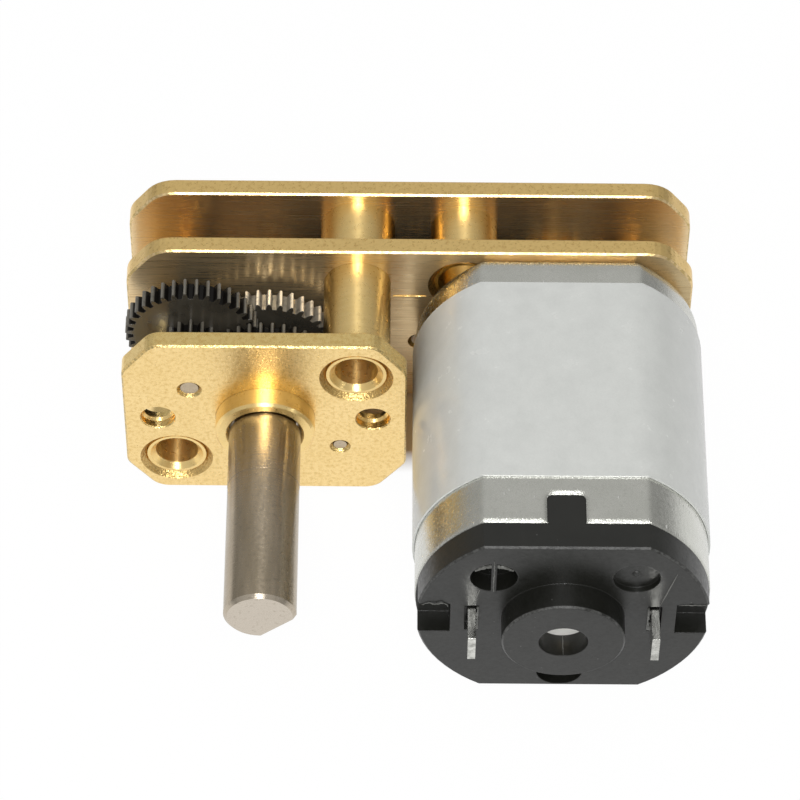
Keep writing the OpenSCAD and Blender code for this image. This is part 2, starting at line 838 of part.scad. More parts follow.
module motor_can() {
  inner_r = can_d / 2 - can_wall;
  shaft_room = 0.3;
  color(nickel)
    at(motor_at)
      difference() {
        union() {
          intersection() {
            drawn_body(can_d / 2, can_half_h, can_end_y, mid_y, can_edge_r);
            beveled_body(can_d / 2, can_half_h, can_end_y, mid_y, can_rim);
          }
          rod(can_boss_d, can_front_y, can_boss_end_y);
        }
        along_y(can_end_y - past, can_front_y)
          flatted(inner_r, can_half_h - can_wall);
        rod(bush_pocket_d, bush_back_y, can_boss_end_y - can_boss_lid);
        rod(motor_shaft_d + 2 * shaft_room, mid_y, can_boss_end_y + past);
        for (turn = half_turns)
          rotate([0, turn, 0])
            key(key_w, past, key_len, key_r, 0, can_d / 2);
        for (side = sides)
          translate([side * screw_spacing / 2, 0, 0])
            rod(screw_d + 2 * seat_gap, screw_tip_y, mid_y + past);
      }
}

module can_label() {
  color(paper)
    at(motor_at)
      along_y(label_y, label_y + label_len)
        difference() {
          flatted(can_d / 2 + label_t, can_half_h + label_t);
          flatted(can_d / 2 + seat_gap, can_half_h + seat_gap);
        }
}

cap_r = can_d / 2 - cap_inset;
cap_half_h = can_half_h - cap_inset;
lip_r = can_d / 2 - can_wall - seat_gap;
lip_half_h = can_half_h - can_wall - seat_gap;
bush_pocket_d = bush_d + 2 * seat_gap;
lower_recess_z = recess_rim + recess_d / 2 - cap_half_h;
notch_floor = 0.2;

module cap_recess(place, depth) {
  at(place)
    rod(recess_d, cap_face_y - past, cap_face_y + depth);
}

// Cut for one terminal, from the cap's face to a given depth, with room on every side
module terminal_slot(side, room, depth) {
  translate([side * terminal_x - terminal_t / 2 - room, cap_face_y - past, -terminal_h / 2 - room])
    cube([terminal_t + 2 * room, past + depth, terminal_h + 2 * room]);
}

module end_cap() {
  color(plastic)
    at(motor_at)
      difference() {
        union() {
          beveled_body(cap_r, cap_half_h, cap_face_y, can_end_y, cap_bevel);
          along_y(can_end_y, lip_y)
            difference() {
              flatted(lip_r, lip_half_h);
              flatted(lip_r - cap_lip_wall, lip_half_h - cap_lip_wall);
            }
          for (turn = half_turns)
            rotate([0, turn, 0])
              key(
                key_w - 2 * seat_gap, cap_t / 2, key_len - seat_gap, key_r - seat_gap,
                lip_half_h - cap_lip_wall, cap_half_h);
          turned()
            polygon([
              [0, can_end_y], [cap_boss_d / 2, can_end_y], [cap_boss_d / 2, cap_boss_y + cap_bevel],
              [cap_boss_d / 2 - cap_bevel, cap_boss_y], [0, cap_boss_y]]);
          rod(bush_d + 2 * cap_lip_wall, can_end_y, rear_bush_end_y);
        }
        rod(cap_hole_d, cap_boss_y - past, cap_hole_y + past);
        rod(bush_pocket_d, cap_hole_y, lip_y);
        difference() {
          cap_recess([-recess_x, recess_z], recess_depth);
          translate([-recess_x - recess_rib / 2, cap_face_y, recess_z - recess_d])
            cube([recess_rib, 2 * recess_depth, 2 * recess_d]);
        }
        cap_recess([recess_x, recess_z], dimple_depth);
        cap_recess([0, lower_recess_z], recess_depth);
        for (side = sides) {
          translate([side > 0 ? cap_r - side_notch_w : -cap_r, cap_face_y - past, -side_notch_h / 2])
            cube([side_notch_w, past + cap_t - notch_floor, side_notch_h]);
          terminal_slot(side, seat_gap, cap_t + past);
          terminal_slot(side, terminal_room, terminal_pocket);
        }
      }
}

terminal_inner_y = commutator_y + commutator_len;

module terminals() {
  color(nickel)
    at(motor_at)
      for (side = sides)
        translate([side * terminal_x - terminal_t / 2, cap_face_y - terminal_reach, -terminal_h / 2])
          cube([terminal_t, terminal_inner_y - cap_face_y + terminal_reach, terminal_h]);
}

// Each brush is a leaf that runs from its terminal to the commutator's side
module brushes() {
  leaf_x = commutator_d / 2 + run_gap;
  leaf_z = terminal_h / 2;
  color(copper)
    at(motor_at)
      for (side = sides)
        rotate([0, side > 0 ? 0 : 180, 0])
          translate([leaf_x, commutator_y + (commutator_len - brush_w) / 2, 0]) {
            translate([0, 0, -leaf_z])
              cube([brush_t, brush_w, 2 * leaf_z + brush_t]);
            translate([0, 0, leaf_z])
              cube([terminal_x + terminal_t / 2 - leaf_x, brush_w, brush_t]);
          }
}

module bush(y0, y1) {
  color(nickel)
    at(motor_at)
      along_y(y0, y1)
        difference() {
          circle(d = bush_d);
          circle(d = motor_shaft_d + 2 * run_gap);
        }
}

module front_bush() {
  bush(bush_back_y, can_boss_end_y - can_boss_lid - seat_gap);
}

module rear_bush() {
  bush(cap_hole_y, rear_bush_end_y);
}

module magnets() {
  outer_r = can_d / 2 - can_wall - seat_gap;
  color(black_steel)
    at(motor_at)
      for (side = sides)
        along_y(magnet_y, magnet_y + magnet_len)
          intersection() {
            difference() {
              circle(r = min(outer_r, magnet_r + magnet_t));
              circle(r = magnet_r);
            }
            polygon([[0, 0], side * can_d * [1, tan(magnet_half)], side * can_d * [1, -tan(magnet_half)]]);
          }
}

// Rotor

motor_shaft_y0 = cap_hole_y + seat_gap;
motor_shaft_y1 = far_layer_y + rear_layer_w;

module motor_shaft() {
  color(steel)
    at(motor_at)
      rod(motor_shaft_d, motor_shaft_y0, motor_shaft_y1);
}

rotor_bore_d = motor_shaft_d + 2 * seat_gap;

// Ring pressed on the motor's shaft
module shaft_ring(d, y0, y1) {
  at(motor_at)
    along_y(y0, y1)
      difference() {
        circle(d = d);
        circle(d = rotor_bore_d);
      }
}

module shaft_washers() {
  color("white") {
    shaft_ring(bush_d, bush_back_y - end_play - washer_t, bush_back_y - end_play);
    shaft_ring(bush_d, rear_bush_end_y + end_play, rear_bush_end_y + end_play + washer_t);
  }
}

poles = 3;
pole_step = 360 / poles;
first_pole = 90;
core_hub_r = 1.3;
neck_w = 1;
shoe_t = 0.65;
shoe_half = 50;

module armature_core() {
  color(steel)
    at(motor_at)
      along_y(core_y, core_y + core_len)
        difference() {
          union() {
            circle(r = core_hub_r);
            for (k = [0 : poles - 1])
              rotate(first_pole + k * pole_step) {
                translate([0, -neck_w / 2])
                  square([core_r - shoe_t / 2, neck_w]);
                intersection() {
                  difference() {
                    circle(r = core_r);
                    circle(r = core_r - shoe_t);
                  }
                  polygon([[0, 0], 2 * core_r * [1, tan(shoe_half)], 2 * core_r * [1, -tan(shoe_half)]]);
                }
              }
          }
          circle(d = rotor_bore_d);
        }
}

// Each coil is wound round a pole's neck
module armature_coils() {
  hub_space = 0.15;
  shoe_space = 0.1;
  side_w = 0.75;
  half_w = neck_w / 2 + side_w;
  inner = core_hub_r + hub_space;
  outer = sqrt((core_r - shoe_t - shoe_space) ^ 2 - half_w ^ 2);
  color(copper)
    at(motor_at)
      for (k = [0 : poles - 1])
        rotate([0, -first_pole - k * pole_step, 0])
          difference() {
            translate([inner, coil_y, -half_w])
              cube([outer - inner, core_len + 2 * coil_end, 2 * half_w]);
            translate([inner - past, core_y - seat_gap, -neck_w / 2 - seat_gap])
              cube([outer - inner + 2 * past, core_len + 2 * seat_gap, neck_w + 2 * seat_gap]);
          }
}

module commutator_hub() {
  color(plastic)
    shaft_ring(commutator_d - 2 * segment_t - 2 * seat_gap, hub_end_y, core_y - seat_gap);
}

module commutator_segments() {
  slit = 0.2;
  color(copper)
    at(motor_at)
      along_y(commutator_y, commutator_y + commutator_len)
        difference() {
          circle(d = commutator_d);
          circle(d = commutator_d - 2 * segment_t);
          for (k = [0 : poles - 1])
            rotate(first_pole + (k + 0.5) * pole_step)
              translate([0, -slit / 2])
                square([commutator_d, slit]);
        }
}

front_plate();
mid_plate();
rear_plate();
long_posts();
short_posts();
output_bushing();
output_shaft();
output_gear();
fifth_axle();
fifth_wheel();
fifth_pinion();
fourth_wheel();
fourth_pinion();
third_shaft();
third_pinion();
third_wheel();
second_axle();
second_wheel();
second_pinion();
first_axle();
first_wheel();
first_pinion();
motor_pinion();
motor_screws();
motor_can();
can_label();
end_cap();
terminals();
brushes();
front_bush();
rear_bush();
magnets();
motor_shaft();
shaft_washers();
armature_core();
armature_coils();
commutator_hub();
commutator_segments();
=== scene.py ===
"""Looks of the offset gearmotor: materials, small surface details, studio light and the photo's camera.

The frame is the CAD's: +X from the output shaft to the motor, +Y to the rear plate, +Z up. Blender's lengths
are metres. Sizes of the part, of its small pieces and of its textures are given in millimetres.
"""

import math
import random

import bmesh
import bpy
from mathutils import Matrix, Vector


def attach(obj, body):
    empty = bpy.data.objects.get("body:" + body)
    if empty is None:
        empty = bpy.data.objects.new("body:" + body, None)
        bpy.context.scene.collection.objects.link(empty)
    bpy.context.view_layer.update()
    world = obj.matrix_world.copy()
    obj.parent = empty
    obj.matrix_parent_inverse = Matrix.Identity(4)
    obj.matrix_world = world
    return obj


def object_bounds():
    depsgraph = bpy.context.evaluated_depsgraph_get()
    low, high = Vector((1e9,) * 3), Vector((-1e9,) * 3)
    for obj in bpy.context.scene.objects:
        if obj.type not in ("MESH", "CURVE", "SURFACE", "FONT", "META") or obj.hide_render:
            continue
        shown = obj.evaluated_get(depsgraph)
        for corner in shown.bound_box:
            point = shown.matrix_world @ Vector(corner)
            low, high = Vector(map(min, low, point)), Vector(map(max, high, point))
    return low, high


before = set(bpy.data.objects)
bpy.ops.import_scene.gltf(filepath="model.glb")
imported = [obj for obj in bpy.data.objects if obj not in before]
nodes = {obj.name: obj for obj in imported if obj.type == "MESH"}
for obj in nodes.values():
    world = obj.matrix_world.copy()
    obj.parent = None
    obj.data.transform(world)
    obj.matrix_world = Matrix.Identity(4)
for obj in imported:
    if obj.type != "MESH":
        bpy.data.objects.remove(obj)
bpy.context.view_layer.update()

MM = 0.001

# Places in the CAD model: motor's axis, upper long post, mounting hole, cap's face and its shallow recess
MOTOR_X = 12.253
POST_X, POST_Z = 3.803, 2.804
MOUNT_X = 4.5
CAP_FACE_Y = -9.94
DIMPLE_X, DIMPLE_Z, DIMPLE_DEPTH = 2.85, 2.86, 0.25

# Places of the colour sockets in a Mix node
MIX_A, MIX_B, MIX_RESULT = 6, 7, 2

# Part of a noise texture's values that holds nearly all of them, and a narrower part
MOST = (0.3, 0.7)
MIDDLE = (0.35, 0.65)

# Frequency, detail and roughness of the grain that the brass and steel share, and of a finer one
GRAIN = (5.5, 4, 0.65)
FINE_GRAIN = (6, 4, 0.65)

# Directions in which tool marks draw out highlights
ALONG_Y = (0.02, 1.0, 0.01)
UPWARDS = (0.03, 0.3, 1.0)


# Node helpers

class Looks:
    """One material's node tree, with a Principled shader and coordinates in millimetres."""

    EDGE_SAMPLES = 4

    def __init__(self, name, metallic=0.0, round_mm=0.0, **sockets):
        self.mat = bpy.data.materials.new(name)
        self.mat.use_nodes = True
        self.tree = self.mat.node_tree
        self.tree.nodes.clear()
        self.bsdf = self.add("ShaderNodeBsdfPrincipled")
        out = self.add("ShaderNodeOutputMaterial")
        self.link(self.bsdf.outputs["BSDF"], out.inputs["Surface"])
        self.bsdf.inputs["Metallic"].default_value = metallic
        for socket, value in sockets.items():
            self.bsdf.inputs[socket.replace("_", " ")].default_value = value
        self.coord = self.add("ShaderNodeTexCoord")
        self.last_bump = None
        if round_mm:
            edge = self.add("ShaderNodeBevel")
            edge.samples = self.EDGE_SAMPLES
            edge.inputs["Radius"].default_value = round_mm * MM
            self.last_bump = edge.outputs["Normal"]
            self.link(self.last_bump, self.bsdf.inputs["Normal"])

    def add(self, kind):
        return self.tree.nodes.new(kind)

    def link(self, source, target):
        self.tree.links.new(source, target)

    def place(self, scale):
        """Object coordinates in millimetres, times a frequency for all axes or for each."""
        scale = scale if isinstance(scale, tuple) else (scale,) * 3
        mapping = self.add("ShaderNodeMapping")
        mapping.inputs["Scale"].default_value = [s / MM for s in scale]
        self.link(self.coord.outputs["Object"], mapping.inputs["Vector"])
        return mapping.outputs["Vector"]

    def noise(self, scale, detail=3.0, roughness=0.55):
        node = self.add("ShaderNodeTexNoise")
        node.inputs["Scale"].default_value = 1.0
        node.inputs["Detail"].default_value = detail
        node.inputs["Roughness"].default_value = roughness
        self.link(self.place(scale), node.inputs["Vector"])
        return node.outputs["Fac"]

    def cells(self, scale):
        """Distance from the nearest of many scattered points."""
        node = self.add("ShaderNodeTexVoronoi")
        node.inputs["Scale"].default_value = 1.0
        self.link(self.place(scale), node.inputs["Vector"])
        return node.outputs["Distance"]

    def spread(self, value, low, high, to_low=0.0, to_high=1.0):
        node = self.add("ShaderNodeMapRange")
        self.link(value, node.inputs["Value"])
        for name, number in (("From Min", low), ("From Max", high), ("To Min", to_low), ("To Max", to_high)):
            node.inputs[name].default_value = number
        return node.outputs["Result"]

    def math(self, kind, a, b=0.0):
        node = self.add("ShaderNodeMath")
        node.operation = kind
        for socket, value in zip(node.inputs, (a, b)):
            if isinstance(value, (int, float)):
                socket.default_value = value
            else:
                self.link(value, socket)
        return node.outputs["Value"]

    def blend(self, fac, a, b):
        """Colour or vector a where fac is 0, and b where it is 1."""
        node = self.add("ShaderNodeMix")
        node.data_type = "RGBA"
        self.link(fac, node.inputs["Factor"])
        for socket, value in ((node.inputs[MIX_A], a), (node.inputs[MIX_B], b)):
            if isinstance(value, tuple):
                socket.default_value = (*value, 1.0)
            else:
                self.link(value, socket)
        return node.outputs[MIX_RESULT]

    def between(self, fac, a, b):
        """Value a where fac is 0, and b where it is 1."""
        return self.math("ADD", a, self.math("MULTIPLY", fac, self.math("SUBTRACT", b, a)))

    def vector(self, kind, a, b=(0.0, 0.0, 0.0)):
        node = self.add("ShaderNodeVectorMath")
        node.operation = kind
        for socket, value in zip(node.inputs, (a, b)):
            if isinstance(value, tuple):
                socket.default_value = value
            else:
                self.link(value, socket)
        return node.outputs["Value" if kind == "LENGTH" else "Vector"]

    def facing(self, axis):
        """How far the surface's own normal lies along an axis of the object, without sign."""
        split = self.add("ShaderNodeSeparateXYZ")
        self.link(self.coord.outputs["Normal"], split.inputs["Vector"])
        return self.math("ABSOLUTE", split.outputs["XYZ".index(axis)])

    def radius(self, x, z, paired=False):
        """Distance in millimetres from an axis along Y, or from the nearest of it and its mirror images."""
        point = self.coord.outputs["Object"]
        if paired:
            point = self.vector("ABSOLUTE", point)
        offset = self.vector("SUBTRACT", point, (x * MM, 0.0, z * MM))
        return self.vector("LENGTH", self.vector("MULTIPLY", offset, (1.0 / MM, 0.0, 1.0 / MM)))

    def specks(self, scale, sizes, patches, thin_to_thick, strength=1.0):
        """Round specks, which fade out between two sizes and gather in patches."""
        spots = self.spread(self.cells(scale), *sizes, strength, 0.0)
        return self.math("MULTIPLY", spots, self.spread(self.noise(patches, 1), *thin_to_thick))

    def plate_edges(self):
        """1 on the edges of a plate, and 0 on its faces."""
        return self.spread(self.facing("Y"), 0.5, 0.9, 1.0, 0.0)

    def bevels(self):
        """1 on bevels, which face neither along Y nor across it."""
        lean = self.facing("Y")
        return self.math("MULTIPLY", self.spread(lean, 0.3, 0.5), self.spread(lean, 0.95, 0.85))

    def worn_bevels(self, grain, low, high, most=1.0):
        """Patches of grain on bevels."""
        return self.math("MULTIPLY", self.bevels(), self.spread(grain, low, high, 0.0, most))

    def soft_creases(self, x, inner, outer):
        """Shade a wrapped sheet, but not its cut ends, as if its flats ran smoothly into its arcs."""
        split = self.add("ShaderNodeSeparateXYZ")
        offset = self.vector("SUBTRACT", self.coord.outputs["Object"], (x * MM, 0.0, 0.0))
        self.link(offset, split.inputs["Vector"])
        bend = self.add("ShaderNodeMapRange")
        bend.interpolation_type = "SMOOTHSTEP"
        self.link(self.math("ABSOLUTE", split.outputs["X"]), bend.inputs["Value"])
        bend.inputs["From Min"].default_value = inner * MM
        bend.inputs["From Max"].default_value = outer * MM
        lean = self.add("ShaderNodeCombineXYZ")
        self.link(self.math("MULTIPLY", split.outputs["X"], bend.outputs["Result"]), lean.inputs["X"])
        self.link(split.outputs["Z"], lean.inputs["Z"])
        smooth = self.vector("NORMALIZE", lean.outputs["Vector"])
        end = self.spread(self.facing("Y"), 0.4, 0.6)
        self.last_bump = self.blend(end, smooth, self.coord.outputs["Normal"])

    def colour(self, value):
        self.link(value, self.bsdf.inputs["Base Color"])

    def metallic(self, value):
        self.link(value, self.bsdf.inputs["Metallic"])

    def roughness(self, value):
        self.link(value, self.bsdf.inputs["Roughness"])

    def bump(self, height, strength, depth_mm):
        node = self.add("ShaderNodeBump")
        node.inputs["Strength"].default_value = strength
        node.inputs["Distance"].default_value = depth_mm * MM
        self.link(height, node.inputs["Height"])
        if self.last_bump:
            self.link(self.last_bump, node.inputs["Normal"])
        self.last_bump = node.outputs["Normal"]
        self.link(self.last_bump, self.bsdf.inputs["Normal"])

    def drawn(self, amount, along):
        """Fine tool marks, which draw highlights out along a direction."""
        if isinstance(amount, float):
            self.bsdf.inputs["Anisotropic"].default_value = amount
        else:
            self.link(amount, self.bsdf.inputs["Anisotropic"])
        tangent = self.add("ShaderNodeCombineXYZ")
        for socket, value in zip(tangent.inputs, along):
            socket.default_value = value
        self.link(tangent.outputs["Vector"], self.bsdf.inputs["Tangent"])


def dress(names, looks):
    for name in names:
        slots = nodes[name].data.materials
        slots.clear()
        slots.append(looks.mat)


# Materials

def blasted_brass():
    """Pale front plate with a fine blasted grain, dark specks, richer sawn edges, and turned countersinks
    darkened with painted shade, a darker brass that stands in for the dark surroundings they reflect.
    """
    faces = (0.94, 0.69, 0.305), (0.98, 0.73, 0.34)
    # Sawn edge, rubbed bevel, and the darker brass of the painted shade in the countersinks
    sawn, bevel, countersink_shade_tone = (0.95, 0.71, 0.29), (0.56, 0.42, 0.18), (0.60, 0.41, 0.155)
    dark_face, dark_edge = (0.74, 0.51, 0.19), (0.76, 0.51, 0.17)
    sink_inside, sink_outside = (1.22, 1.26), (1.56, 1.53)
    m = Looks("brass_blasted", 1.0)
    grain = m.noise(*GRAIN)
    fine = m.noise(15, 2, 0.6)
    cloud = m.noise(0.5, 3)
    edge = m.plate_edges()
    tone = m.blend(edge, m.blend(m.spread(cloud, *MIDDLE), *faces), sawn)
    dark = m.blend(edge, dark_face, dark_edge)
    pits = m.specks(3.6, (0.05, 0.16), 1.7, (0.50, 0.58))
    mottle = m.spread(grain, 0.54, 0.30)
    tone = m.blend(m.math("MAXIMUM", m.math("MULTIPLY", pits, 0.9), mottle), tone, dark)
    tone = m.blend(m.worn_bevels(grain, 0.42, 0.56), tone, bevel)
    # Painted shade: the countersinks round the posts take a darker brass in place of the dark reflections
    # that shade them.
    around = m.radius(POST_X, POST_Z, True)
    sink = m.math("MULTIPLY", m.spread(around, *sink_inside), m.spread(around, *sink_outside))
    m.colour(m.blend(m.math("MULTIPLY", m.bevels(), sink), tone, countersink_shade_tone))
    m.roughness(m.spread(fine, *MOST, 0.24, 0.38))
    m.bump(grain, 0.35, 0.04)
    m.bump(fine, 0.20, 0.015)
    m.bump(pits, 0.4, -0.03)
    m.bump(m.math("MULTIPLY", m.noise(9, 2, 0.6), m.bevels()), 0.7, 0.06)
    return m


def rolled_brass(name, streaks, smooth, rough):
    """Long plate: browner faces with marks of rolling along X, and grained edges."""
    faces = (0.78, 0.60, 0.35), (0.86, 0.67, 0.40)
    rims = (0.74, 0.50, 0.18), (0.94, 0.67, 0.27)
    streak, bevel = (0.58, 0.41, 0.21), (0.54, 0.40, 0.17)
    m = Looks(name, 1.0)
    marks = m.noise((0.3, 9, 16), 4, 0.7)
    grain = m.noise(*GRAIN)
    cloud = m.noise((0.25, 1, 0.7), 3)
    edge = m.plate_edges()
    face = m.blend(m.spread(cloud, *MIDDLE), *faces)
    face = m.blend(m.spread(marks, 0.50, 0.70, 0.0, streaks), face, streak)
    rim = m.blend(m.spread(grain, 0.30, 0.52), *rims)
    m.colour(m.blend(m.worn_bevels(grain, 0.42, 0.56), m.blend(edge, face, rim), bevel))
    face_rough = m.spread(marks, *MOST, smooth, rough)
    edge_rough = m.spread(grain, *MOST, 0.24, 0.40)
    m.roughness(m.between(edge, face_rough, edge_rough))
    m.bump(marks, 0.16, 0.012)
    m.bump(m.math("MULTIPLY", grain, edge), 0.3, 0.04)
    m.drawn(m.spread(edge, 0.0, 1.0, 0.75, 0.0), UPWARDS)
    return m


def turned_brass():
    """Posts, bushing and pinion with lathe marks that sparkle along the top, and duller drilled bores."""
    tones = (0.98, 0.725, 0.315), (0.93, 0.675, 0.275)
    dull = (0.78, 0.56, 0.22)
    bore_r, post_end_r = 0.93, 1.0
    m = Looks("brass_turned", 1.0)
    marks = m.noise((0.8, 9, 0.8), 3, 0.6)
    grain = m.noise((7, 5, 7), 4, 0.65)
    bore = m.spread(m.radius(POST_X, POST_Z, True), bore_r, post_end_r, 1.0, 0.0)
    tone = m.blend(m.spread(marks, 0.35, 0.7), *tones)
    m.colour(m.blend(m.spread(grain, 0.46, 0.28, 0.0, 0.35), tone, dull))
    m.metallic(m.spread(bore, 0.0, 1.0, 1.0, 0.95))
    m.roughness(m.spread(grain, *MOST, 0.26, 0.33))
    m.bump(marks, 0.22, 0.03)
    m.drawn(0.95, ALONG_Y)
    return m


def ground_steel(name, light, dark, end, smooth, rough):
    """Ground round steel with fine marks round it, soft scuffs along it and paler cut ends."""
    m = Looks(name, 1.0)
    marks = m.noise((0.8, 8, 0.8), 3, 0.6)
    scuffs = m.noise((2.6, 0.3, 2.6), 3, 0.55)
    grain = m.noise(*GRAIN)
    tone = m.blend(m.spread(scuffs, 0.32, 0.68), light, dark)
    tone = m.blend(m.spread(m.facing("Y"), 0.5, 0.9), tone, end)
    m.colour(m.blend(m.spread(grain, 0.46, 0.26, 0.0, 0.5), tone, tuple(0.65 * c for c in dark)))
    m.roughness(m.spread(grain, *MOST, smooth, rough))
    m.bump(marks, 0.3, 0.03)
    m.bump(grain, 0.08, 0.02)
    m.drawn(0.95, ALONG_Y)
    return m


def black_steel(node, tip_rub_and_glint, root_rub_and_glint):
    """Black oxide gear with painted shade, near black, on the flanks and roots between its teeth, and a
    bright bare colour on the tips and less between them, partly rubbed wear and partly a painted highlight
    standing in for glints.
    """
    blacks = (0.030, 0.027, 0.021), (0.058, 0.052, 0.040)
    gap_painted_shade, bare_and_glint = (0.008, 0.007, 0.006), (0.98, 0.90, 0.74)
    inner, outer = 0.11, 0.05
    points = [v.co for v in nodes[node].data.vertices]
    x, z = (0.5 * (min(p[i] for p in points) + max(p[i] for p in points)) / MM for i in (0, 2))
    tip_r = max(math.hypot(p[0] / MM - x, p[2] / MM - z) for p in points)
    m = Looks("gear_" + node, 0.0, 0.03)
    grain = m.noise(5, 3, 0.6)
    oil = m.noise(0.8, 2)
    side = m.spread(m.facing("Y"), 0.3, 0.8, 1.0, 0.0)
    tip = m.spread(m.radius(x, z), tip_r - inner, tip_r - outer)
    # Painted shade: the flanks and roots between the teeth turn near black, where shade falls.
    gap = m.math("MULTIPLY", side, m.math("SUBTRACT", 1.0, tip))
    black = m.blend(gap, m.blend(m.spread(oil, *MOST), *blacks), gap_painted_shade)
    # Partly rubbed wear and partly a painted highlight: the tips, and less the flanks, take a bright bare
    # colour that stands in for glints.
    rub_and_glint = m.math("MULTIPLY", side, m.spread(tip, 0.0, 1.0, root_rub_and_glint, tip_rub_and_glint))
    rub_and_glint = m.math("MULTIPLY", rub_and_glint, m.spread(grain, 0.28, 0.5, 0.4, 1.0))
    m.colour(m.blend(rub_and_glint, black, bare_and_glint))
    m.metallic(m.spread(rub_and_glint, 0.0, 0.5, 0.0, 0.4))
    m.link(m.spread(gap, 0.0, 1.0, 0.9, 0.15), m.bsdf.inputs["Specular IOR Level"])
    m.roughness(m.between(tip, m.spread(grain, *MOST, 0.14, 0.24), 0.45))
    m.bump(grain, 0.04, 0.012)
    return m


def nickel_can():
    """Nickel-plated sheet with a fine sparkling grain and bright nicks."""
    tones = (0.61, 0.615, 0.567), (0.68, 0.68, 0.635)
    dark, nick = (0.50, 0.50, 0.465), (0.95, 0.95, 0.91)
    m = Looks("nickel_can", 1.0, 0.35)
    grain = m.noise(*FINE_GRAIN)
    cloud = m.noise(0.7, 3)
    nicks = m.specks((3.4, 1.6, 3.4), (0.05, 0.15), 1.1, (0.50, 0.57))
    tone = m.blend(m.spread(cloud, *MOST), *tones)
    tone = m.blend(m.spread(grain, 0.46, 0.28, 0.0, 0.5), tone, dark)
    m.colour(m.blend(nicks, tone, nick))
    m.roughness(m.spread(grain, *MOST, 0.18, 0.34))
    m.bump(grain, 0.34, 0.03)
    m.bump(m.noise(2.0, 2), 0.10, 0.03)
    m.bump(nicks, 0.5, 0.04)
    return m


def label_paper():
    """Bare label: smooth coated paper with faint mottling and a few shallow dents."""
    tones = (0.520, 0.530, 0.512), (0.576, 0.586, 0.566)
    crease_start, crease_end = 2.3, 4.5
    m = Looks("label_paper", Specular_IOR_Level=0.55)
    m.soft_creases(MOTOR_X, crease_start, crease_end)
    mottle = m.noise(1.1, 4, 0.6)
    fibre = m.noise(14, 3, 0.6)
    tone = m.math("ADD", m.math("MULTIPLY", mottle, 0.6), m.math("MULTIPLY", fibre, 0.4))
    m.colour(m.blend(m.spread(tone, *MIDDLE), *tones))
    m.roughness(m.spread(mottle, *MOST, 0.18, 0.28))
    m.bump(fibre, 0.05, 0.01)
    m.bump(m.noise(0.5, 2), 0.10, 0.05)
    return m


def moulded_plastic(name, dark, light, round_mm=0.06):
    """Moulded plastic with a fine spark texture, dust, and paler bevels that are partly rubbed wear and
    partly a painted highlight along the edges.
    """
    pale_dust_and_highlight = tuple(min(1.0, 0.12 + 2.0 * c) for c in light)
    m = Looks(name, 0.0, round_mm)
    grain = m.noise(*FINE_GRAIN)
    cloud = m.noise(0.6, 3)
    tone = m.blend(m.spread(cloud, *MOST), dark, light)
    dust = m.specks(2.2, (0.02, 0.08), 0.9, (0.5, 0.56), 0.7)
    # Partly rubbed wear and partly a painted highlight: patches of the bevels take a paler colour that stands
    # in for the bright lines lamps draw on them.
    worn_and_highlit = m.worn_bevels(grain, 0.38, 0.62, 0.35)
    m.colour(m.blend(m.math("MAXIMUM", dust, worn_and_highlit), tone, pale_dust_and_highlight))
    m.roughness(m.spread(grain, *MOST, 0.28, 0.46))
    m.bump(grain, 0.30, 0.02)
    m.bump(cloud, 0.10, 0.06)
    return m


def plated(name, low, high, smooth, rough):
    """Bright plated or drawn metal with marks along Y and small dents."""
    m = Looks(name, 1.0, 0.03)
    dents = m.noise((4.0, 1.0, 4.0), 3, 0.6)
    marks = m.noise((12, 1.4, 12), 3, 0.6)
    m.colour(m.blend(m.spread(dents, *MOST), low, high))
    m.roughness(m.spread(marks, *MOST, smooth, rough))
    m.bump(dents, 0.12, 0.05)
    m.bump(marks, 0.06, 0.01)
    return m


def sintered_bush():
    """Dull pale bearing metal, porous."""
    tones = (0.80, 0.79, 0.75), (0.90, 0.89, 0.85)
    pore = (0.55, 0.54, 0.51)
    m = Looks("bush_metal", 0.15)
    pores = m.cells(9)
    cloud = m.noise(1.5, 3)
    m.colour(m.blend(m.spread(pores, 0.08, 0.2, 0.5, 0.0), m.blend(m.spread(cloud, *MOST), *tones), pore))
    m.roughness(m.spread(cloud, *MOST, 0.45, 0.6))
    m.bump(pores, 0.15, 0.02)
    return m


cap_plastic = moulded_plastic("cap_plastic", (0.0062, 0.0064, 0.0048), (0.0100, 0.0102, 0.0082))
torn_plastic = moulded_plastic("torn_plastic", (0.05, 0.05, 0.045), (0.13, 0.13, 0.12), 0.02)
magnet_ferrite = moulded_plastic("magnet_ferrite", (0.05, 0.05, 0.052), (0.07, 0.07, 0.072))
washer_plastic = moulded_plastic("washer_plastic", (0.66, 0.65, 0.60), (0.76, 0.75, 0.70))
brass_blasted = blasted_brass()
brass_turned = turned_brass()
shaft_steel = ground_steel("shaft_steel", (0.475, 0.40, 0.30), (0.37, 0.31, 0.225), (0.60, 0.535, 0.45),
                           0.18, 0.29)
axle_steel = ground_steel("axle_steel", (0.56, 0.49, 0.38), (0.44, 0.38, 0.29), (0.56, 0.46, 0.33),
                          0.24, 0.38)
core_steel = plated("core_steel", (0.40, 0.40, 0.41), (0.52, 0.52, 0.53), 0.3, 0.45)
screw_zinc = plated("screw_zinc", (0.52, 0.53, 0.54), (0.66, 0.67, 0.68), 0.24, 0.40)
copper_bare = plated("copper_bare", (0.70, 0.30, 0.14), (0.82, 0.40, 0.20), 0.25, 0.40)
terminal_tin = plated("terminal_tin", (0.34, 0.34, 0.315), (0.74, 0.74, 0.695), 0.16, 0.32)

dress(["front_plate"], brass_blasted)
dress(["mid_plate"], rolled_brass("brass_mid", 1.0, 0.22, 0.40))
dress(["rear_plate"], rolled_brass("brass_rear", 0.35, 0.22, 0.30))
dress(["long_posts", "short_posts", "output_bushing", "motor_pinion"], brass_turned)
dress(["output_shaft"], shaft_steel)
dress(["fifth_axle", "third_shaft", "second_axle", "first_axle", "motor_shaft"], axle_steel)
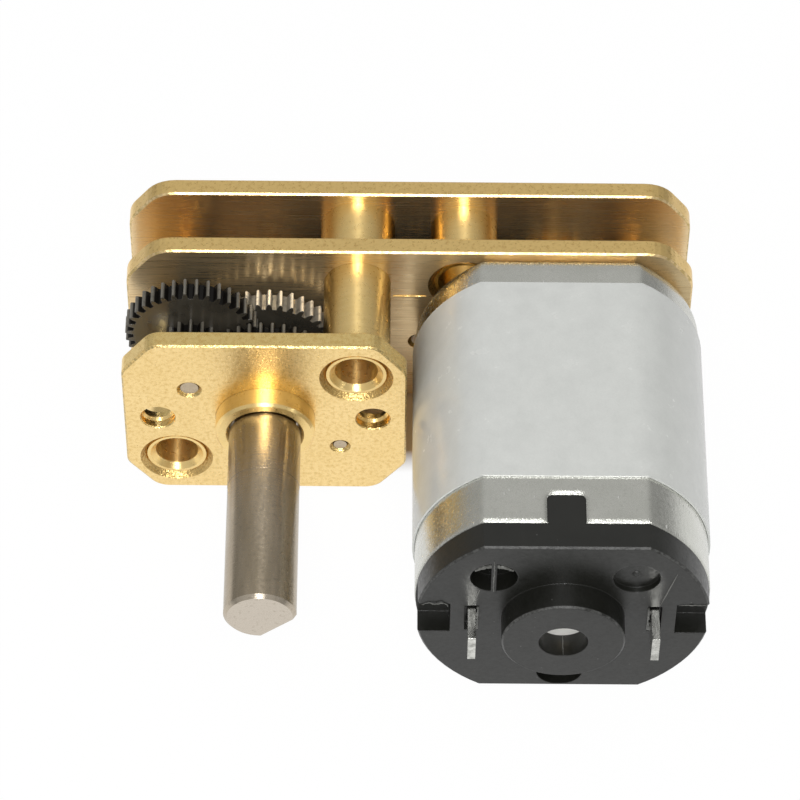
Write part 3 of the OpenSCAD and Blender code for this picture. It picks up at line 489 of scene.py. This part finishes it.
# Its tips are painted bright all over, partly as wear and partly as a painted highlight.
dress(["fourth_wheel"], black_steel("fourth_wheel", 1.0, 0.25))
for gear in ("output_gear", "fifth_wheel", "fifth_pinion", "fourth_pinion", "third_pinion", "third_wheel",
             "second_wheel", "second_pinion", "first_wheel", "first_pinion"):
    dress([gear], black_steel(gear, 0.10, 0.0))
dress(["motor_screws"], screw_zinc)
dress(["motor_can"], nickel_can())
dress(["can_label"], label_paper())
dress(["end_cap", "commutator_hub"], cap_plastic)
dress(["terminals"], terminal_tin)
dress(["brushes", "armature_coils", "commutator_segments"], copper_bare)
dress(["front_bush", "rear_bush"], sintered_bush())
dress(["magnets"], magnet_ferrite)
dress(["armature_core"], core_steel)
dress(["shaft_washers"], washer_plastic)


# Small pieces on the gearbox and the cap

def piece(name, points, faces, looks, slot):
    """Mesh of points in millimetres that rides on the frame."""
    mesh = bpy.data.meshes.new(name)
    mesh.from_pydata([tuple(c * MM for c in p) for p in points], [], faces)
    work = bmesh.new()
    work.from_mesh(mesh)
    bmesh.ops.recalc_face_normals(work, faces=work.faces)
    work.to_mesh(mesh)
    work.free()
    mesh.materials.append(looks.mat)
    obj = bpy.data.objects.new(name, mesh)
    bpy.context.collection.objects.link(obj)
    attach(obj, "frame")


def loft(rings):
    """Points and faces of a closed skin over rings of equal length, with both ends filled."""
    count = len(rings[0])
    points = [p for ring in rings for p in ring]
    faces = []
    for start in range(0, len(points) - count, count):
        for k in range(count):
            after = (k + 1) % count
            faces.append((start + k, start + after, start + count + after, start + count + k))
    last = len(points) - count
    return points, faces + [tuple(range(count)), tuple(last + k for k in range(count))]


def hole_thread(name, x):
    """Nearly one and a half turns of a screw thread on the wall of a mounting hole."""
    per_turn, pitch, wall, depth, start, end = 40, 0.30, 0.715, 0.13, 0.24, 0.66
    foot, crest_half = 0.13, 0.02
    end_share, run_out = 0.15, 6.0
    steps = int(per_turn * (end - start) / pitch)
    rings = []
    for i in range(steps + 1):
        turn = math.tau * i / per_turn
        y = start + pitch * i / per_turn
        crest = wall - depth * min(1.0, end_share + run_out * min(i, steps - i) / per_turn)
        rings.append([(x + r * math.cos(turn), y + dy, r * math.sin(turn))
                      for r, dy in ((wall, -foot), (crest, -crest_half), (crest, crest_half), (wall, foot))])
    piece(name, *loft(rings), brass_turned, "plate_brass")


def on_cap(path):
    """Points measured from the middle of the cap's face."""
    return [(MOTOR_X + x, CAP_FACE_Y + y, z) for x, y, z in path]


def gate_mark():
    """Stub that the mould's gate left in the shallow recess."""
    around = 24
    profile = ((0.20, 0.03), (0.18, -0.01), (0.13, -0.05), (0.07, -0.06), (0.03, -0.04))
    turns = [math.tau * k / around for k in range(around)]
    rings = [on_cap([(DIMPLE_X + r * math.cos(t), DIMPLE_DEPTH + dy, DIMPLE_Z + r * math.sin(t))
                     for t in turns]) for r, dy in profile]
    piece("cap_gate_mark", *loft(rings), cap_plastic, "cap_plastic")


def strand(name, path, thick, looks, slot, seed, wobble=0.0):
    """Thin uneven strand along a path in millimetres."""
    steps, sides = 6, 7
    end_share, uneven = 0.35, (0.75, 1.2)
    chance = random.Random(seed)
    dense = []
    for a, b in zip(path, path[1:]):
        dense += [[a[i] + (b[i] - a[i]) * t / steps for i in range(3)] for t in range(steps)]
    dense.append(list(path[-1]))
    turns = [math.tau * q / sides for q in range(sides)]
    rings = []
    for k, point in enumerate(dense):
        swell = math.sin(math.pi * (k + 0.6) / (len(dense) + 0.2))
        size = thick * (end_share + (1.0 - end_share) * swell) * chance.uniform(*uneven)
        centre = [c + chance.uniform(-wobble, wobble) for c in point]
        along = Vector(dense[min(k + 1, len(dense) - 1)]) - Vector(dense[max(k - 1, 0)])
        steep = abs(along.y) > 0.5 * along.length
        across = along.cross(Vector((0.1, 0.3, 1.0) if steep else (0.0, 1.0, 0.0))).normalized()
        other = along.cross(across).normalized()
        rings.append([tuple(c + size * (math.cos(t) * a + math.sin(t) * o)
                            for c, a, o in zip(centre, across, other)) for t in turns])
    piece(name, *loft(rings), looks, slot)


def ragged_edge(name, side, x0, seed):
    """Torn plastic along the pocket beside a terminal."""
    count, top, length = 15, 0.74, 1.5
    reaches, lifts, shift = (0.02, 0.13), (0.02, 0.12), 0.02
    chance = random.Random(seed)
    rings = []
    for k in range(count):
        z = top - length * k / (count - 1)
        reach = chance.uniform(*reaches)
        lift = chance.uniform(*lifts)
        rings.append(on_cap([(x0 - side * 0.05, 0.04, z), (x0 - side * 0.03, -0.4 * lift, z),
                             (x0 + side * reach, -lift, z + chance.uniform(-shift, shift)),
                             (x0 + side * 0.6 * reach, 0.06, z)]))
    piece(name, *loft(rings), torn_plastic, "cap_plastic")


# Name, thickness, seed, wobble and path of each strand on the cap
CAP_STRANDS = (
    ("cap_ridge_left", 0.035, 3, 0.0, [(-3.40, 0.0, 2.0), (-3.52, 0.0, 1.5), (-3.62, 0.0, 0.95)]),
    ("cap_ridge_right", 0.03, 4, 0.0, [(4.46, 0.0, 3.2), (4.2, 0.0, 2.2), (3.88, 0.0, 0.95)]),
    ("cap_burr_left", 0.028, 5, 0.02, [
        (-5.72, -0.03, 0.95), (-5.45, -0.04, 1.10), (-5.2, -0.05, 1.02), (-4.95, -0.05, 1.12),
        (-4.72, -0.02, 1.0), (-4.66, -0.01, 0.8)]),
    ("cap_burr_right", 0.022, 6, 0.02, [
        (4.62, -0.01, 0.98), (5.0, -0.02, 1.03), (5.5, -0.02, 1.0), (5.8, -0.02, 1.08)]),
    ("cap_rib_burr", 0.035, 9, 0.015, [
        (-2.86, -0.01, 4.0), (-2.84, -0.02, 3.3), (-2.85, -0.03, 2.5), (-2.86, -0.04, 1.95)]),
    ("cap_recess_lip", 0.10, 10, 0.01, [
        (-3.62, 0.10, 3.2), (-3.25, 0.10, 3.46), (-2.85, 0.10, 3.54), (-2.45, 0.10, 3.46),
        (-2.08, 0.10, 3.2)]),
    ("cap_flash_line", 0.025, 11, 0.005, [(0.03, -1.12, -0.985), (0.02, -0.65, -0.98), (0.03, -0.2, -0.985)]))
SCRIBE_LINE = [(5.3, 4.99, 2.0), (6.0, 4.99, 2.0), (6.7, 4.99, 2.0)]

hole_thread("hole_thread_left", -MOUNT_X)
hole_thread("hole_thread_right", MOUNT_X)
gate_mark()
for strand_name, thickness, strand_seed, shake, route in CAP_STRANDS:
    strand(strand_name, on_cap(route), thickness, torn_plastic, "cap_plastic", strand_seed, shake)
strand("mid_scribe_line", SCRIBE_LINE, 0.045, brass_blasted, "plate_brass", 12)
ragged_edge("cap_tear_left", -1, -3.45, 7)
ragged_edge("cap_tear_right", 1, 3.44, 8)


# Studio

# Light of the room straight up, its change along each axis, and its change towards both sides
ROOM_LEVEL = 0.62
ROOM_SLOPE = (-0.06, -0.10, 0.0)
ROOM_SIDES = -0.30
ROOM_COLOUR = (1.0, 1.0, 0.985, 1.0)

# Floor: its size, its colours, its share of plain white, and how far off metal sees it grow darker, which it
# does less to the right
FLOOR_SIZE = 6.0
FLOOR_DROP = 0.02 * MM
FLOOR_WHITE = (0.92, 0.92, 0.92, 1.0)
GLOW_WHITE = (1.0, 1.0, 1.0, 1.0)
FLOOR_GLOW = 0.97
FLOOR_FAR = 0.40
FAR_START, FAR_END, FAR_RIGHT = 18.0 * MM, 55.0 * MM, 20.0 * MM

# Painted shade under the gearbox, a brown that stands in for its shadow and the warm light the brass throws
# into it: its colour, middle, half sizes and soft rim
PAINTED_SHADE_COLOUR = (0.60, 0.40, 0.20, 1.0)
SHADE_X, SHADE_Y = 6.0 * MM, 4.7 * MM
SHADE_HALF_X, SHADE_HALF_Y = 11.6 * MM, 3.75 * MM
SHADE_RIM = 1.2 * MM

# Lamps and camera, in metres
LAMP_TARGET = (0.006, 0.0, 0.0)
CAMERA_PLACE = (0.0048911, -0.1052644, 0.1422381)
CAMERA_TURN = (36.76535, -0.45742, 0.21475)
CAMERA_LENS, CAMERA_SENSOR = 190.313, 36.0
CAMERA_NEAR = 0.01


def node_adder(tree):
    """Empty a node tree, and return a function that adds nodes and sets or links their inputs in order."""
    tree.nodes.clear()

    def add(kind, operation=None, inputs=()):
        made = tree.nodes.new(kind)
        if operation:
            made.operation = operation
        for socket, value in zip(made.inputs, inputs):
            if isinstance(value, bpy.types.NodeSocket):
                tree.links.new(value, socket)
            else:
                socket.default_value = value
        return made

    return add


def pale_floor():
    """White floor that shows as white to the camera and to metal, except under the gearbox, where it is
    painted with a brown shade and does not glow.
    """
    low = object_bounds()[0]
    bpy.ops.mesh.primitive_plane_add(size=FLOOR_SIZE, location=(0.0, 0.0, low[2] - FLOOR_DROP))
    floor = bpy.context.object
    floor.name = "floor"
    mat = bpy.data.materials.new("floor_white")
    mat.use_nodes = True
    node = node_adder(mat.node_tree)

    def math_node(operation, *inputs):
        return node("ShaderNodeMath", operation, inputs).outputs["Value"]

    def outside(value, middle, half):
        return math_node("SUBTRACT", math_node("ABSOLUTE", math_node("SUBTRACT", value, middle)), half)

    place = node("ShaderNodeTexCoord").outputs["Object"]
    split = node("ShaderNodeSeparateXYZ", None, [place])
    away = math_node("MAXIMUM", outside(split.outputs["X"], SHADE_X, SHADE_HALF_X),
                     outside(split.outputs["Y"], SHADE_Y, SHADE_HALF_Y))
    lit = node("ShaderNodeMapRange", None, [away, -SHADE_RIM, 0.0, 0.0, 1.0]).outputs["Result"]
    # Painted shade: under the gearbox the floor's colour turns brown in place of its shadow.
    shade_paint = node("ShaderNodeMix")
    shade_paint.data_type = "RGBA"
    mat.node_tree.links.new(lit, shade_paint.inputs["Factor"])
    shade_paint.inputs[MIX_A].default_value = PAINTED_SHADE_COLOUR
    shade_paint.inputs[MIX_B].default_value = FLOOR_WHITE
    diffuse = node("ShaderNodeBsdfDiffuse", None, [shade_paint.outputs[MIX_RESULT]])
    rays = node("ShaderNodeLightPath").outputs
    mirrored = math_node("MAXIMUM", rays["Is Glossy Ray"], rays["Is Transmission Ray"])
    seen = math_node("MAXIMUM", rays["Is Camera Ray"], mirrored)
    near = node("ShaderNodeVectorMath", "MINIMUM", [place, (FAR_RIGHT, FLOOR_SIZE, FLOOR_SIZE)])
    reach = node("ShaderNodeVectorMath", "LENGTH", [near.outputs["Vector"]]).outputs["Value"]
    far = node("ShaderNodeMapRange", None, [reach, FAR_START, FAR_END, 1.0, FLOOR_FAR]).outputs["Result"]
    glow = node("ShaderNodeEmission", None, [GLOW_WHITE, math_node("MAXIMUM", rays["Is Camera Ray"], far)])
    share = math_node("MULTIPLY", seen, math_node("MULTIPLY", lit, FLOOR_GLOW))
    mix = node("ShaderNodeMixShader", None, [share, diffuse.outputs["BSDF"], glow.outputs["Emission"]])
    node("ShaderNodeOutputMaterial", None, [mix.outputs["Shader"]])
    floor.data.materials.append(mat)


def studio_world():
    """Soft grey room, paler in front and darker towards both sides."""
    world = bpy.data.worlds.new("studio")
    bpy.context.scene.world = world
    world.use_nodes = True
    node = node_adder(world.node_tree)
    towards = node("ShaderNodeTexCoord").outputs["Generated"]
    slope = node("ShaderNodeVectorMath", "DOT_PRODUCT", [towards, ROOM_SLOPE]).outputs["Value"]
    side = node("ShaderNodeSeparateXYZ", None, [towards]).outputs["X"]
    square = node("ShaderNodeMath", "MULTIPLY", [side, side]).outputs["Value"]
    change = node("ShaderNodeMath", "MULTIPLY_ADD", [square, ROOM_SIDES, slope]).outputs["Value"]
    level = node("ShaderNodeMath", "ADD", [change, ROOM_LEVEL]).outputs["Value"]
    back = node("ShaderNodeBackground", None, [ROOM_COLOUR, level])
    node("ShaderNodeOutputWorld", None, [back.outputs["Background"]])


def lamp(name, place, power, size):
    data = bpy.data.lights.new(name, "AREA")
    data.energy = power
    data.shape = "DISK"
    data.size = size
    light = bpy.data.objects.new(name, data)
    bpy.context.collection.objects.link(light)
    light.location = place
    to_object = [t - p for t, p in zip(LAMP_TARGET, place)]
    light.rotation_euler = Vector(to_object).to_track_quat("-Z", "Y").to_euler()


def photo_camera():
    data = bpy.data.cameras.new("photo_camera")
    data.sensor_width = CAMERA_SENSOR
    data.lens = CAMERA_LENS
    data.clip_start = CAMERA_NEAR
    camera = bpy.data.objects.new("photo_camera", data)
    bpy.context.collection.objects.link(camera)
    camera.location = CAMERA_PLACE
    camera.rotation_euler = [math.radians(a) for a in CAMERA_TURN]
    bpy.context.scene.camera = camera


pale_floor()
studio_world()
lamp("key", (0.0, -0.241, 0.317), 0.35, 0.04)
lamp("soft", (0.0, -0.245, 0.322), 0.80, 0.20)
photo_camera()
bpy.context.scene.view_settings.view_transform = "Standard"
